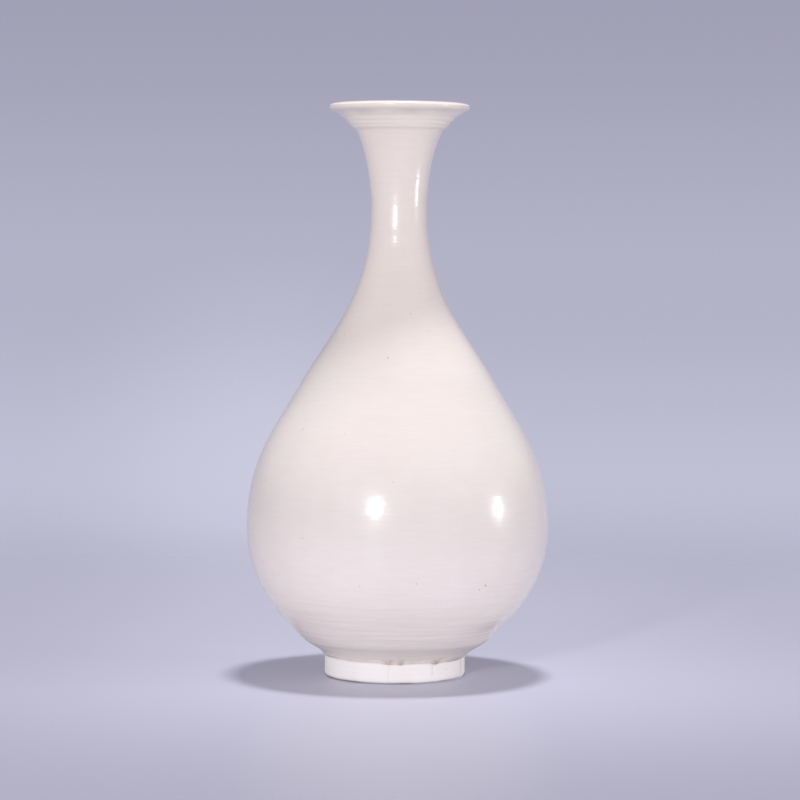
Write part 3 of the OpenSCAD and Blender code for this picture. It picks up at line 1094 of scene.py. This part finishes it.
@dataclass
class OuterGlaze:
    """The glaze on the outside, from its uneven edge on the foot to the crown of the lip."""

    outline: Outline
    lathe: Lathe = field(default_factory=lambda: Lathe(segments=280))
    spacings: tuple[float, ...] = (0.6, 1.3, 2.0, 1.7, 1.3)
    mouth_spacing: float = 0.42
    back_stride: int = 6
    toe_z: float = 10.3
    toe_h: float = 0.6
    toe_t: float = 0.12
    toe_sink: float = 0.4
    toe_steps: int = 7
    ledge_gap: float = 0.2
    ledge_points: tuple[int, int] = (4, 6)
    edge_reach: float = 2.4
    edge_tilt: float = 0.55
    edge_waves: tuple[tuple[float, float], ...] = ((0.3, 2.6), (0.18, 9.0))
    wave_level: float = 0.4
    # Painted light on the lower belly and the mouth, cut back at the crown.
    cove_painted_light: float = 0.9
    cove_reach: tuple[float, float, float] = (-1.0, 4.0, 17.0)
    ledge_reach: tuple[float, float] = (-1.0, 2.0)
    crown_light_cut: float = 0.8
    crown_start: float = 0.6
    # Darker under the lip and at the trimming chine: partly glaze pooling, partly painted shade.
    lip_pool_shade: tuple[float, float] = (0.3, 0.7)
    lip_pool_shade_rate: float = 0.09
    lip_pool_shade_reach: tuple[float, float, float] = (-4.0, -0.8, 1.2)
    foot_pool_shade: float = 0.22
    foot_pool_shade_reach: tuple[float, float, float] = (-5.0, -1.0, 2.0)
    rust_spread: float = 12.0
    rust: tuple[float, float] = (0.25, 0.25)
    rust_rate: float = 0.25
    marks: ToolMarks = ToolMarks()
    beads: tuple[Bead, ...] = (
        Bead(-5.0, 8.0, 0.45, 0.22, 1.0),
        Bead(4.6, 4.6, 0.75, 0.17, 0.9),
        Bead(34.0, 6.5, 0.85, 0.22, 1.0),
        Bead(56.0, 22.0, 0.1, 0.06, 0.95),
        Bead(-62.0, 24.0, 0.1, 0.05, 0.95),
        Bead(112.0, 7.0, 1.0, 0.15, 0.7),
        Bead(152.0, 4.5, 1.5, 0.18, 0.8),
        Bead(-151.0, 12.0, -0.6, 0.0, 0.5),
        Bead(-104.0, 6.0, 0.9, 0.14, 0.6),
    )

    def face_path(self) -> Profile:
        """The glaze's own surface, from its toe on the foot to the crown of the lip."""
        shape = self.outline
        path = shape.body_path(self.spacings)
        seat = min(path, key=lambda p: abs(p.y - self.toe_z - self.toe_h))
        toe = []
        for i in range(self.toe_steps):
            angle = math.radians(90.0 * i / (self.toe_steps - 1))
            out = (self.toe_sink + self.toe_t) * math.sin(angle) - self.toe_sink
            toe.append(Vector((seat.x + out, self.toe_z + self.toe_h * (1.0 - math.cos(angle)))))
        body = [p for p in path if toe[-1].y + self.toe_h < p.y < shape.mouth.height - self.ledge_gap]
        mouth = shape.mouth_stretch.path(self.mouth_spacing)
        below, above = self.ledge_points
        ledge = softened([body[-below], body[-1], mouth[1], mouth[above]])
        outer_lip, _ = shape.lip(self.mouth_spacing)
        return toe + body[:-below] + ledge + mouth[above + 1:-1] + outer_lip

    def edge_drop(self, azimuth: float) -> float:
        """How far the lower edge hangs below its mean height at an azimuth."""
        drop = self.edge_tilt * math.sin(math.radians(azimuth))
        drop += sum(bead.drop * bead.share(azimuth) for bead in self.beads)
        for size, rate in self.edge_waves:
            drop += size * drift(azimuth, rate, self.wave_level * rate)
        return drop

    def mark_tones(self, bm: Mesh) -> None:
        """Notes where painted light lightens the glaze, and where the glaze is darker from pooling and
        painted shade.
        """
        pool_and_shade = bm.verts.layers.float.new(Mark.POOL_AND_SHADE.value)
        pale = bm.verts.layers.float.new(Mark.PAINTED_LIGHT.value)
        shape = self.outline
        base, spread = self.lip_pool_shade
        low, high = self.ledge_reach
        for vert in bm.verts:
            height = vert.co.z / MM
            rise = height - shape.trim.height
            crown = ease(shape.nose_z + self.crown_start, shape.top, height)
            ledge = ease(low, high, height - shape.mouth.height)
            # Painted light: lighter on the lower belly and over the mouth, less towards the crown.
            vert[pale] = self.cove_painted_light * hump(*self.cove_reach, rise) + ledge - self.crown_light_cut * crown
            # Partly glaze pooling, partly painted shade, under the lip and at the trimming chine.
            under_lip_dark = max(0.0, base + spread * noise.noise(vert.co / MM * self.lip_pool_shade_rate))
            under_lip_dark *= hump(*self.lip_pool_shade_reach, height - shape.lip_under.height)
            vert[pool_and_shade] = max(under_lip_dark, self.foot_pool_shade * hump(*self.foot_pool_shade_reach, rise))

    def shape_edge(self, bm: Mesh) -> None:
        """Lets the lower edge wander up and down the foot, swells its beads and notes its iron."""
        iron = bm.verts.layers.float.new(Mark.IRON.value)
        base, spread = self.rust
        for vert in bm.verts:
            near = 1.0 - ease(0.0, self.edge_reach, vert.co.z / MM - self.toe_z - self.toe_h)
            if near == 0.0:
                continue
            azimuth = azimuth_of(vert.co)
            shares = [(bead, bead.share(azimuth)) for bead in self.beads]
            rust = max(b.iron * share * near ** (b.half_turn / self.rust_spread) for b, share in shares)
            patchy = base + spread * noise.noise(vert.co / MM * self.rust_rate)
            vert[iron] = max(rust, patchy * near * near)
            swell = sum(bead.swell * share for bead, share in shares)
            outward = Vector((vert.co.x, vert.co.y, 0.0)).normalized()
            vert.co += (outward * swell + self.outline.foot_shift) * near * MM
            vert.co.z -= self.edge_drop(azimuth) * near * MM

    def build(self, material: Material) -> Object:
        """Makes the coat in its finish."""
        shape = self.outline
        face = self.face_path()
        bm = self.lathe.spin(face, coat_back(face, shape.glaze_t, self.back_stride), closed=True)
        shown = bm.verts.layers.float[Mark.FACE.value]
        for vert in bm.verts:
            if vert[shown] > 0.5 and vert.co.z / MM < shape.lip_under.height:
                vert.co += vert.normal * self.marks.depth(shape, azimuth_of(vert.co), vert.co.z / MM) * MM
        shape.dig(bm, lambda vert: True)
        self.mark_tones(bm)
        self.shape_edge(bm)
        return self.lathe.piece("outer_glaze_coat", bm, material, Slot.GLAZE, "outer_glaze")


@dataclass
class InnerGlaze:
    """The glaze poured inside: from the crown of the lip down the wall and over the floor."""

    outline: Outline
    lathe: Lathe = field(default_factory=lambda: Lathe(segments=200))
    spacings: tuple[float, ...] = (2.0, 4.0, 4.0, 2.4, 1.4)
    mouth_spacing: float = 0.6
    floor_spacing: float = 3.0
    back_stride: int = 5
    spiral: float = 0.09
    spiral_pitch: float = 8.5

    def build(self, material: Material) -> Object:
        """Makes the coat in its finish."""
        shape = self.outline
        wall = shape.inside_path(self.spacings, self.mouth_spacing)
        face = divided(Vector((0.0, wall[0].y)), wall[0], self.floor_spacing) + wall
        bm = self.lathe.spin(face, coat_back(face, -shape.glaze_t, self.back_stride), closed=False)
        shown = bm.verts.layers.float[Mark.FACE.value]
        for vert in bm.verts:
            height = vert.co.z / MM
            if vert[shown] > 0.5 and shape.trim.height < height < shape.lip_under.height:
                spiral = math.sin(math.tau * (height / self.spiral_pitch - azimuth_of(vert.co) / 360.0))
                vert.co += vert.normal * self.spiral * (spiral - 1.0) * MM
        return self.lathe.piece("inner_glaze_coat", bm, material, Slot.GLAZE, "inner_glaze")


@dataclass
class BareFoot:
    """The turned foot ring of bare clay, with the joint to the belly wiped over."""

    outline: Outline
    lathe: Lathe = field(default_factory=lambda: Lathe(segments=360))
    rest_w: float = 6.0
    bevel: float = 1.0
    lean: float = 8.0
    spacing: float = 0.45
    collar_h: float = 2.4
    collar_t: float = 0.18
    collar_root: tuple[float, float] = (0.1, 0.8)
    slip_inset: float = 0.7
    slip_gap: float = 0.05
    rest_inset: float = 0.5
    heel: tuple[float, float] = (0.35, 0.65)
    heel_end: float = 0.8
    inner_heel: tuple[float, float] = (0.05, 0.5)
    upright: float = 0.55
    draft: float = 0.08
    smoothing: float = 0.3
    line_depth: float = 0.035
    line_rates: tuple[float, float] = (0.02, 1.4)
    wave_depth: float = 0.1
    wave_rate: float = 0.09
    chip: float = 0.45
    chip_h: float = 1.8
    chip_rates: tuple[float, float] = (0.16, 0.6)
    chip_fine: float = 0.35
    chip_range: tuple[float, float] = (0.25, 0.6)
    worn_below: float = 0.4
    flattest: float = 0.8

    @property
    def top(self) -> float:
        """Height where the ring ends and its slip begins."""
        return self.outline.foot.height - self.outline.slip_t

    @property
    def inner_r(self) -> float:
        """Radius of the rest's inner edge."""
        return self.outline.foot.radius - self.bevel - self.rest_w

    @property
    def inner_top_r(self) -> float:
        """Radius of the leaning inner wall where the ring ends."""
        return self.inner_r - self.top * math.tan(math.radians(self.lean))

    def path(self) -> Profile:
        """The ring's closed section, from the inner edge of its rest outwards and round."""
        shape = self.outline
        radius, top = shape.foot.radius, self.top
        rise = moved_into_wall(shape.body_path((self.spacing,)), lambda p: self.collar_t)
        collar = [p for p in rise[1:] if p.y < shape.foot.height + self.collar_h]
        slip_r = radius - self.slip_inset
        corners = [
            Vector((self.inner_r + self.rest_inset, 0.0)),
            Vector((radius - self.bevel - self.rest_inset, 0.0)),
            Vector((radius - self.heel[0], self.heel[1])),
            Vector((radius, self.bevel + self.heel_end)),
            Vector((radius, top * self.upright)),
            Vector((radius - self.draft, top)),
            *collar,
            Vector((slip_r, top)) + Vector(self.collar_root),
            Vector((slip_r, top)),
            Vector((self.inner_top_r, top)),
            Vector((self.inner_r - self.inner_heel[0], self.inner_heel[1])),
        ]
        loop = []
        for start, end in zip(corners, corners[1:] + corners[:1]):
            loop += divided(start, end, self.spacing)
        return loop

    def wear(self, bm: Mesh) -> None:
        """Cuts turning lines into the walls and knocks chips off the lower edge."""
        round_rate, up_rate = self.line_rates
        coarse, fine = self.chip_rates
        for vert in bm.verts:
            around = vert.co / MM
            if around.z > self.top - self.worn_below or abs(vert.normal.z) > self.flattest:
                continue
            lines = noise.noise(Vector((around.x * round_rate, around.y * round_rate, around.z * up_rate)))
            waves = noise.noise(around * self.wave_rate)
            rough = noise.noise(around * coarse) + self.chip_fine * noise.noise(around * fine)
            chips = ease(*self.chip_range, rough) * (1.0 - ease(0.0, self.chip_h, around.z))
            depth = self.line_depth * lines + self.wave_depth * (waves - 0.5) - self.chip * chips
            vert.co += vert.normal * depth * MM
            vert.co.z = max(vert.co.z, 0.0)

    def build(self, clay: Material, slip: Material) -> list[Object]:
        """Makes the ring and the slip on top of it.

        Args:
            clay: Finish of the ring.
            slip: Finish of the slip.

        Returns:
            Both pieces.
        """
        shape = self.outline
        ring = self.lathe.spin(self.path(), [], closed=True)
        bmesh.ops.smooth_vert(
            ring, verts=ring.verts, factor=self.smoothing, use_axis_x=True, use_axis_y=True
        )
        ring.normal_update()
        self.wear(ring)

        low = Vector((self.inner_top_r, self.top))
        high = Vector((shape.foot.radius - self.slip_inset - self.slip_gap, shape.foot.height))
        section = [low, Vector((high.x, low.y)), high, Vector((low.x, high.y))]
        joint = self.lathe.spin(section, [], closed=True)
        for bm in (ring, joint):
            bmesh.ops.translate(bm, verts=bm.verts, vec=shape.foot_shift * MM)
        return [
            self.lathe.piece("bare_foot_ring", ring, clay, Slot.CLAY, "foot_ring"),
            self.lathe.piece("foot_joint_slip", joint, slip, Slot.SLIP, "foot_slip"),
        ]


@dataclass
class TurnedBowl:
    """The lower belly: a bowl whose underside keeps the rings of the turning tool inside the foot."""

    outline: Outline
    lathe: Lathe = field(default_factory=lambda: Lathe(segments=240))
    spacings: tuple[float, ...] = (1.5, 4.0)
    ring_pitch: float = 2.6
    ring_depth: float = 0.16
    ring_spacing: float = 0.4
    ringed_r: float = 26.4
    nub_r: float = 3.2
    nub_h: float = 0.5

    def underside(self) -> Profile:
        """Turned underside, from its middle to where the slip covers it."""
        level = self.outline.foot.height
        path = []
        for spot in divided(Vector((0.0, level)), Vector((self.ringed_r, level)), self.ring_spacing):
            rings = self.ring_depth * (0.5 - 0.5 * math.cos(math.tau * spot.x / self.ring_pitch))
            nub = self.nub_h * (1.0 - ease(0.0, self.nub_r, spot.x))
            path.append(spot - Vector((0.0, rings + nub)))
        return path

    def build(self, material: Material) -> Object:
        """Makes the bowl in its finish."""
        shape = self.outline
        seam = shape.belly.height - shape.slip_t / 2
        wall = shape.body_path(self.spacings)
        outer = [p for p in moved_into_wall(wall, lambda p: shape.glaze_t) if p.y < seam]
        inner = moved_into_wall(wall, lambda p: shape.glaze_t + shape.body_wall(p))
        inner = [p for p in inner if p.y < seam]
        outer_top, inner_top = Vector((outer[-1].x, seam)), Vector((inner[-1].x, seam))
        skirt = Vector((outer[0].x, shape.foot.height))
        floor = Vector((0.0, inner[0].y))
        back = [skirt, *outer, outer_top, inner_top, *reversed(inner), floor]
        bm = self.lathe.spin(self.underside(), back, closed=False)
        reach = outer[0].x * MM
        shape.dig(bm, lambda vert: vert.normal.z < 0.0 and vert.co.xy.length > reach)
        return self.lathe.piece("turned_lower_belly", bm, material, Slot.CLAY, "lower_belly")


@dataclass
class ThrownMouth:
    """The clay of the mouth under its two glaze coats."""

    outline: Outline
    lathe: Lathe = field(default_factory=lambda: Lathe(segments=160))
    spacing: float = 0.9

    def build(self, material: Material) -> Object:
        """Makes the mouth in its finish."""
        shape = self.outline
        out, over = shape.lip(self.spacing)
        skin = shape.mouth_stretch.path(self.spacing)[:-1] + out[::2] + over[2::2]
        skin += shape.inner_mouth(self.spacing)[-2::-1]
        seam = shape.flare.height + shape.slip_t
        section = [p for p in moved_into_wall(skin, lambda p: shape.glaze_t) if p.y > seam]
        bm = self.lathe.spin(section, [], closed=True)
        return self.lathe.piece("thrown_mouth_rim", bm, material, Slot.CLAY, "mouth_rim")


@dataclass
class ClayCore:
    """The sections and slip joints inside the wall, which keep the frame's own solids."""

    clay_nodes: tuple[str, ...] = ("upper_belly", "neck")
    slip_nodes: tuple[str, ...] = ("belly_slip", "neck_slip", "rim_slip")

    def dress(self, clay: Material, slip: Material) -> list[Object]:
        """Gives the solids their finish.

        Args:
            clay: Finish of the sections.
            slip: Finish of the joints.

        Returns:
            The dressed objects.
        """
        dressed = []
        for names, material in ((self.clay_nodes, clay), (self.slip_nodes, slip)):
            for name in names:
                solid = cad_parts[name]
                for material_slot in solid.material_slots:
                    material_slot.material = material
                dressed.append(solid)
        return dressed


# Studio


@dataclass(frozen=True)
class Softbox:
    """A flat oval lamp that faces the vase. Places and sizes are in metres."""

    name: str
    azimuth: float
    reach: float
    height: float
    width: float
    tall: float
    radiance: float
    aim: float

    def build(self) -> Object:
        """Hangs the lamp, turned to a height on the vase's axis."""
        light = bpy.data.lights.new(self.name, "AREA")
        light.shape = "ELLIPSE"
        light.size, light.size_y = self.width, self.tall
        area = math.pi / 4.0 * self.width * self.tall
        light.energy = self.radiance * math.pi * area
        lamp = bpy.data.objects.new(self.name, light)
        turn = math.radians(self.azimuth)
        lamp.location = (self.reach * math.sin(turn), -self.reach * math.cos(turn), self.height)
        sight = Vector((0.0, 0.0, self.aim)) - lamp.location
        lamp.rotation_euler = sight.to_track_quat("-Z", "Y").to_euler()
        bpy.context.scene.collection.objects.link(lamp)
        return lamp


@dataclass
class Studio:
    """Pale floor that fades into a plain backdrop, soft lamps and the camera. Metres and degrees."""

    floor_r: float = 2.6
    floor_corners: int = 96
    floor_gap: float = 0.00015
    floor_roughness: float = 0.42
    # Darker floor tone towards the front and the sides: painted shade.
    floor_near: Colour = (0.38, 0.375, 0.475, 1.0)
    floor_colour: Colour = (0.605, 0.605, 0.745, 1.0)
    floor_far: Colour = (0.64, 0.638, 0.795, 1.0)
    near_fade: tuple[float, float] = (-0.4, 0.0)
    far_fade: tuple[float, float] = (0.08, 0.4)
    floor_sides: tuple[float, float] = (0.06, 0.24)
    side_share: float = 0.32
    fade: tuple[float, float] = (0.16, 0.85)
    under_foot: tuple[float, float] = (0.0333, 0.0336)
    fill: float = 1.45
    fill_start: tuple[float, float] = (-0.05, 0.05)
    fill_power: float = 2.0
    low_fill: float = 0.2
    low_rise: tuple[float, float] = (-0.6, -0.3)
    under_fill: float = 0.7
    under_fall: tuple[float, float] = (-0.9, -0.7)
    fill_colour: Colour = (1.0, 0.967, 0.963, 1.0)
    backdrop: tuple[tuple[float, Colour], ...] = (
        (-0.60, (0.50, 0.495, 0.61, 1.0)),
        (-0.19, (0.44, 0.442, 0.565, 1.0)),
        (-0.105, (0.485, 0.485, 0.617, 1.0)),
        (-0.08, (0.525, 0.522, 0.66, 1.0)),
        (-0.02, (0.455, 0.453, 0.58, 1.0)),
        (0.09, (0.355, 0.351, 0.462, 1.0)),
        (0.5, (0.33, 0.325, 0.43, 1.0)),
    )
    # Painted light: a brighter patch on the backdrop.
    glow: Colour = (0.66, 0.655, 0.80, 1.0)
    glow_way: tuple[float, float, float] = (-0.041, 0.996, -0.08)
    glow_reach: float = 0.09
    glow_share: float = 0.55
    walls: Colour = (0.86, 0.855, 0.95, 1.0)
    wall_shares: tuple[float, float] = (0.5, 0.85)
    wall_turn: tuple[float, float] = (0.35, 0.75)
    wall_rise: tuple[float, float] = (0.08, 0.34)
    camera_place: tuple[float, float, float] = (0.00105, -1.46, 0.215)
    camera_pitch: float = 3.035
    camera_roll: float = 0.33
    camera_lens: float = 131.86
    lamps: tuple[Softbox, ...] = (
        Softbox("front_softbox", -16.0, 1.05, 0.305, 0.08, 0.12, 198.0, 0.14),
        Softbox("right_softbox", 79.5, 0.74, 0.165, 0.076, 0.094, 58.0, 0.15),
        Softbox("top_softbox", 90.0, 0.09, 1.6, 0.245, 0.245, 97.0, 0.0),
    )

    def floor_material(self) -> Material:
        """Matt pale floor that ends in nothing far out, from below and out of sight under the foot."""
        material, shader, principled = new_material("pale_floor")
        place = shader.object_place()
        across, depth, _ = shader.add("SeparateXYZ", {0: place}).outputs
        # Painted shade: the floor's colour darkens towards the front and the sides and lightens far back.
        tone = shader.mix(shader.climb(depth, *self.near_fade), self.floor_near, self.floor_colour)
        tone = shader.mix(shader.climb(depth, *self.far_fade), tone, self.floor_far)
        aside = shader.climb(shader.math("ABSOLUTE", across), *self.floor_sides, (0.0, self.side_share))
        tone = shader.mix(aside, tone, self.floor_near)
        shader.tree.links.new(tone, principled.inputs["Base Color"])
        principled.inputs["Roughness"].default_value = self.floor_roughness
        distance = shader.add("VectorMath", {0: place}, operation="LENGTH").outputs["Value"]
        gone = shader.climb(distance, *self.fade)
        backface = shader.add("NewGeometry").outputs["Backfacing"]
        clear = shader.add("BsdfTransparent")
        share = shader.math("MAXIMUM", gone, backface)
        share = shader.math("MAXIMUM", share, shader.climb(distance, *self.under_foot, (1.0, 0.0)))
        blend = shader.add("MixShader", {0: share, 1: principled.outputs[0], 2: clear.outputs[0]})
        output = material.node_tree.nodes["Material Output"]
        shader.tree.links.new(blend.outputs[0], output.inputs["Surface"])
        return material

    def build_floor(self) -> Object:
        """Lays the floor just under the foot."""
        bm = bmesh.new()
        lift = Matrix.Translation((0.0, 0.0, -self.floor_gap))
        bmesh.ops.create_circle(
            bm, cap_ends=True, radius=self.floor_r, segments=self.floor_corners, matrix=lift
        )
        mesh = bpy.data.meshes.new("floor")
        bm.to_mesh(mesh)
        bm.free()
        mesh.materials.append(self.floor_material())
        floor = bpy.data.objects.new("floor", mesh)
        bpy.context.scene.collection.objects.link(floor)
        return floor

    def build_world(self) -> None:
        """Plain fill light, strongest near level, with the backdrop's tone for views and reflections."""
        world = bpy.data.worlds.new("studio")
        world.use_nodes = True
        bpy.context.scene.world = world
        shader = Shader(world.node_tree)
        direction = shader.add("TexCoord").outputs["Generated"]
        across, _, height = shader.add("SeparateXYZ", {0: direction}).outputs
        tone: Colour | Socket = self.backdrop[0][1]
        for (low, _), (high, colour) in zip(self.backdrop, self.backdrop[1:]):
            tone = shader.mix(shader.climb(height, low, high), tone, colour)
        # Painted light: a brighter patch on the backdrop, to the left behind the vase.
        aside = shader.add("VectorMath", {0: direction, 1: self.glow_way}, operation="DISTANCE")
        share = shader.climb(aside.outputs["Value"], 0.0, self.glow_reach, (self.glow_share, 0.0))
        tone = shader.mix(share, tone, self.glow)
        path = shader.add("LightPath").outputs
        left, right = self.wall_shares
        near, far = self.wall_turn
        sides = shader.climb(across, -far, -near, (left, 0.0))
        sides = shader.math("ADD", sides, shader.climb(across, near, far, (0.0, right)))
        sides = shader.math("MULTIPLY", sides, shader.climb(height, *self.wall_rise))
        tone = shader.mix(shader.math("MULTIPLY", sides, path["Is Glossy Ray"]), tone, self.walls)
        seen = shader.math("MAXIMUM", path["Is Camera Ray"], path["Is Glossy Ray"])
        seen = shader.math("MAXIMUM", seen, path["Is Transmission Ray"])
        above = shader.climb(height, *self.fill_start, (0.0, self.fill))
        level = shader.math("SUBTRACT", 1.0, shader.math("ABSOLUTE", height))
        strength = shader.math("MULTIPLY", above, shader.math("POWER", level, self.fill_power))
        low = shader.climb(height, *self.low_rise, (0.0, self.low_fill))
        under = shader.climb(height, *self.under_fall, (self.under_fill, 0.0))
        for other in (low, under):
            strength = shader.math("MAXIMUM", strength, other)
        fill = shader.add("Background", {"Color": self.fill_colour, "Strength": strength})
        view = shader.add("Background", {"Color": tone, "Strength": 1.0})
        blend = shader.add("MixShader", {0: seen, 1: fill.outputs[0], 2: view.outputs[0]})
        shader.tree.links.new(blend.outputs[0], world.node_tree.nodes["World Output"].inputs["Surface"])

    def build_camera(self) -> Object:
        """Sets the camera at the photograph's place and angle."""
        data = bpy.data.cameras.new("camera")
        data.lens = self.camera_lens
        camera = bpy.data.objects.new("camera", data)
        tilt = Matrix.Rotation(math.radians(90.0 - self.camera_pitch), 4, "X")
        roll = Matrix.Rotation(math.radians(self.camera_roll), 4, "Z")
        camera.matrix_world = Matrix.Translation(self.camera_place) @ tilt @ roll
        bpy.context.scene.collection.objects.link(camera)
        bpy.context.scene.camera = camera
        return camera

    def build(self) -> None:
        """Sets up the whole studio."""
        bpy.context.scene.view_settings.view_transform = "Standard"
        self.build_camera()
        self.build_floor()
        self.build_world()
        for lamp in self.lamps:
            lamp.build()


def main() -> None:
    """Builds the studio and the vase's pieces."""
    logging.basicConfig(level=logging.INFO, format="%(name)s: %(message)s")
    outline = Outline()
    glaze = GlazeFinish().make(outline)
    clay = ClayFinish().make()
    slip = SlipFinish().make()

    Studio().build()
    pieces = [
        OuterGlaze(outline).build(glaze),
        InnerGlaze(outline).build(glaze),
        *BareFoot(outline).build(clay, slip),
        TurnedBowl(outline).build(clay),
        ThrownMouth(outline).build(clay),
        *ClayCore().dress(clay, slip),
    ]
    for piece in pieces:
        LOG.info("%s: %d faces", piece.name, len(piece.data.polygons))


if __name__ == "__main__":
    main()
